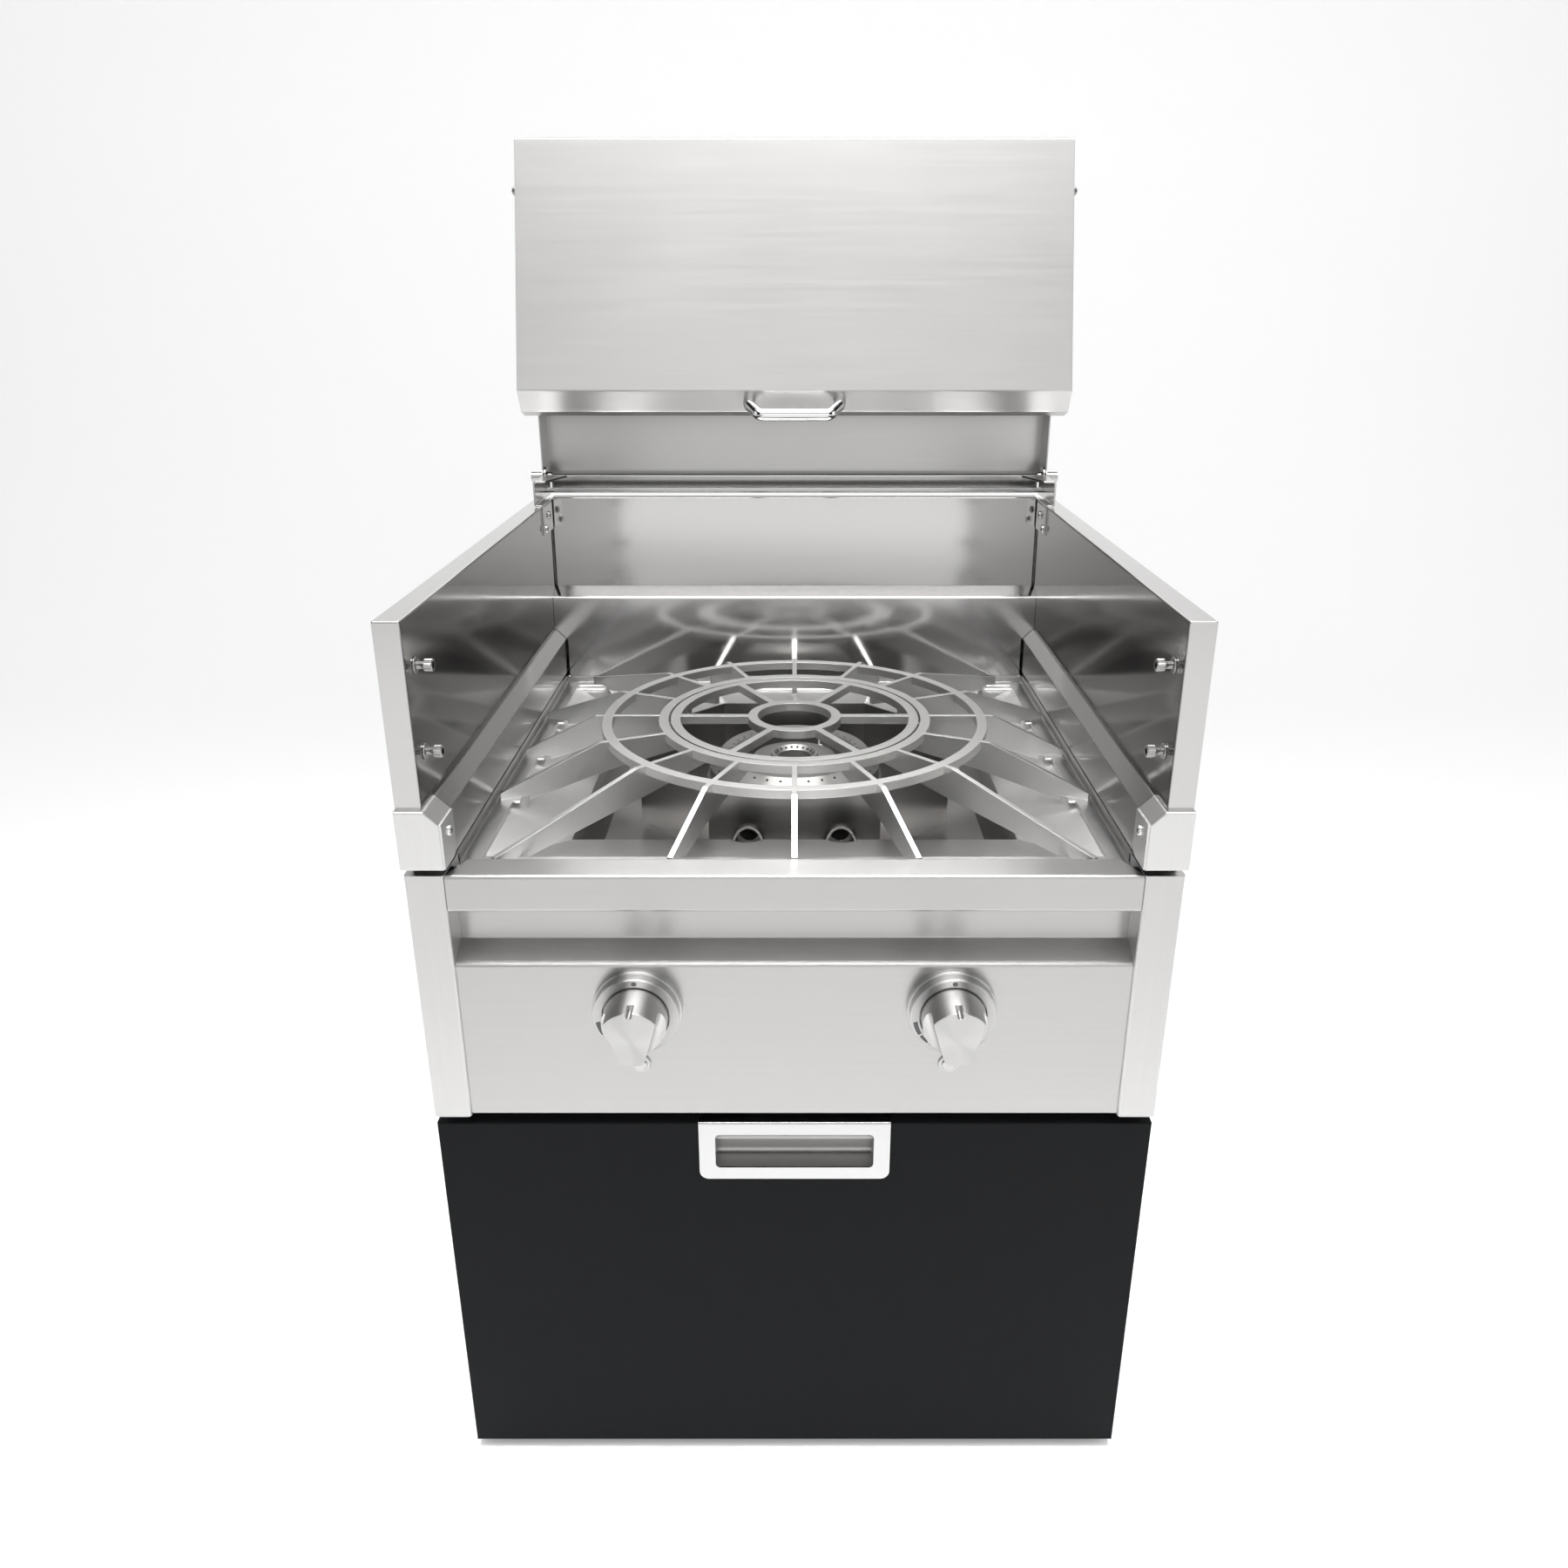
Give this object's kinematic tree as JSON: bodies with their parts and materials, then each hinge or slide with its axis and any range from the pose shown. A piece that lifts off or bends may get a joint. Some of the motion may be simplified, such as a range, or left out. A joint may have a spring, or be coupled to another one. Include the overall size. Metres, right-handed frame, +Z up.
{
  "type": "power burner",
  "caption": "Freestanding outdoor gas power burner: black drawer cabinet, stainless control panel, spoked wok grate, wind guards and folding lid, shown open.",
  "frame": {"origin": "centre of the bounding box at floor level", "axes": "+Z up, -Y towards the user at the control panel, +X to the user's right"},
  "size_m": [0.6226, 0.679, 1.2063],
  "materials": {
    "stainless": "brushed",
    "polished_steel": "polished",
    "guard_steel": "brushed, reflective",
    "black_paint": "satin powder coat",
    "grate_steel": "satin",
    "burner_cast": "as cast, machined tops",
    "rubber": "matt",
    "zinc_steel": "plated",
    "gas_brass": "machined",
    "ceramic": "glazed"
  },
  "bodies": {
    "base": {"back_rail": "guard_steel", "beam_cap_left": "stainless", "beam_cap_right": "stainless", "beam_strips": "rubber", "bezel_left": "stainless", "bezel_right": "stainless", "burner_body": "burner_cast", "burner_pan": "stainless", "burner_shield": "guard_steel", "button_housings": "stainless", "cabinet_back": "black_paint", "cabinet_floor": "black_paint", "cabinet_side_left": "black_paint", "cabinet_side_right": "black_paint", "control_panel": "stainless", "feed_pipes": "zinc_steel", "front_rail": "stainless", "gas_inlet": "gas_brass", "gas_manifold": "zinc_steel", "guard_bolts": "polished_steel", "hinge_bar": "stainless", "hinge_bracket_left": "stainless", "hinge_bracket_right": "stainless", "hinge_pins": "polished_steel", "inner_burner_head": "burner_cast", "levelling_feet": "rubber", "outer_burner_ring": "burner_cast", "post_left": "stainless", "post_right": "stainless", "rear_guard": "guard_steel", "runners_cabinet": "zinc_steel", "side_beam_left": "stainless", "side_beam_right": "stainless", "side_guard_left": "guard_steel", "side_guard_right": "guard_steel", "spark_electrode": "ceramic", "unit_back": "stainless", "unit_side_left": "stainless", "unit_side_right": "stainless", "valve_left": "gas_brass", "valve_right": "gas_brass"},
    "drawer": {"drawer_front": "black_paint", "drawer_pull": "polished_steel", "pull_cup": "stainless", "drawer_tray": "zinc_steel", "runners_drawer": "zinc_steel"},
    "middle_runners": {"runners_middle": "zinc_steel"},
    "lid_rear_half": {"lid_rear": "stainless", "fold_pins": "polished_steel"},
    "lid_front_half": {"lid_front": "stainless", "lid_handle": "polished_steel"},
    "stem_left": {"valve_stem_left": "gas_brass"},
    "stem_right": {"valve_stem_right": "gas_brass"},
    "knob_left": {"knob_left": "stainless"},
    "knob_right": {"knob_right": "stainless"},
    "button_left": {"igniter_button_left": "polished_steel"},
    "button_right": {"igniter_button_right": "polished_steel"},
    "grate": {"grate": "grate_steel"},
    "grate_insert": {"grate_insert": "grate_steel"}
  },
  "joints": [
    {"name": "drawer_slide", "type": "slide", "parent": "base", "child": "drawer", "axis": [0, -1, 0], "range_m": [0, 0.45]},
    {"name": "runner_slide", "type": "slide", "parent": "base", "child": "middle_runners", "axis": [0, -1, 0], "range_m": [0, 0.225]},
    {"name": "lid_hinge", "type": "hinge", "parent": "base", "child": "lid_rear_half", "pos_m": [0, 0.2755, 0.845], "axis": [1, 0, 0], "range_deg": [0, 90]},
    {"name": "lid_fold", "type": "hinge", "parent": "lid_rear_half", "child": "lid_front_half", "pos_m": [0, 0.2995, 1.153], "axis": [1, 0, 0], "range_deg": [-162.6, 0]},
    {"name": "knob_push_left", "type": "slide", "parent": "base", "child": "stem_left", "axis": [0, 1, 0], "range_m": [0, 0.003], "stiffness_N_per_m": 2000},
    {"name": "knob_turn_left", "type": "hinge", "parent": "stem_left", "child": "knob_left", "pos_m": [-0.128, -0.2915, 0.496], "axis": [0, -1, 0], "range_deg": [0, 210]},
    {"name": "button_press_left", "type": "slide", "parent": "base", "child": "button_left", "axis": [0, 1, 0], "range_m": [0, 0.002], "stiffness_N_per_m": 800},
    {"name": "knob_push_right", "type": "slide", "parent": "base", "child": "stem_right", "axis": [0, 1, 0], "range_m": [0, 0.003], "stiffness_N_per_m": 2000},
    {"name": "knob_turn_right", "type": "hinge", "parent": "stem_right", "child": "knob_right", "pos_m": [0.128, -0.2915, 0.496], "axis": [0, -1, 0], "range_deg": [0, 210]},
    {"name": "button_press_right", "type": "slide", "parent": "base", "child": "button_right", "axis": [0, 1, 0], "range_m": [0, 0.002], "stiffness_N_per_m": 800},
    {"name": "grate_lift", "type": "slide", "parent": "base", "child": "grate", "axis": [0, 0, 1], "range_m": [0, 0.1]},
    {"name": "insert_lift", "type": "slide", "parent": "grate", "child": "grate_insert", "axis": [0, 0, 1], "range_m": [0, 0.06]}
  ],
  "couplings": [
    {"joint": "runner_slide", "follows": "drawer_slide", "ratio": 0.5},
    {"joint": "lid_fold", "follows": "lid_hinge", "ratio": -1.8067}
  ]
}
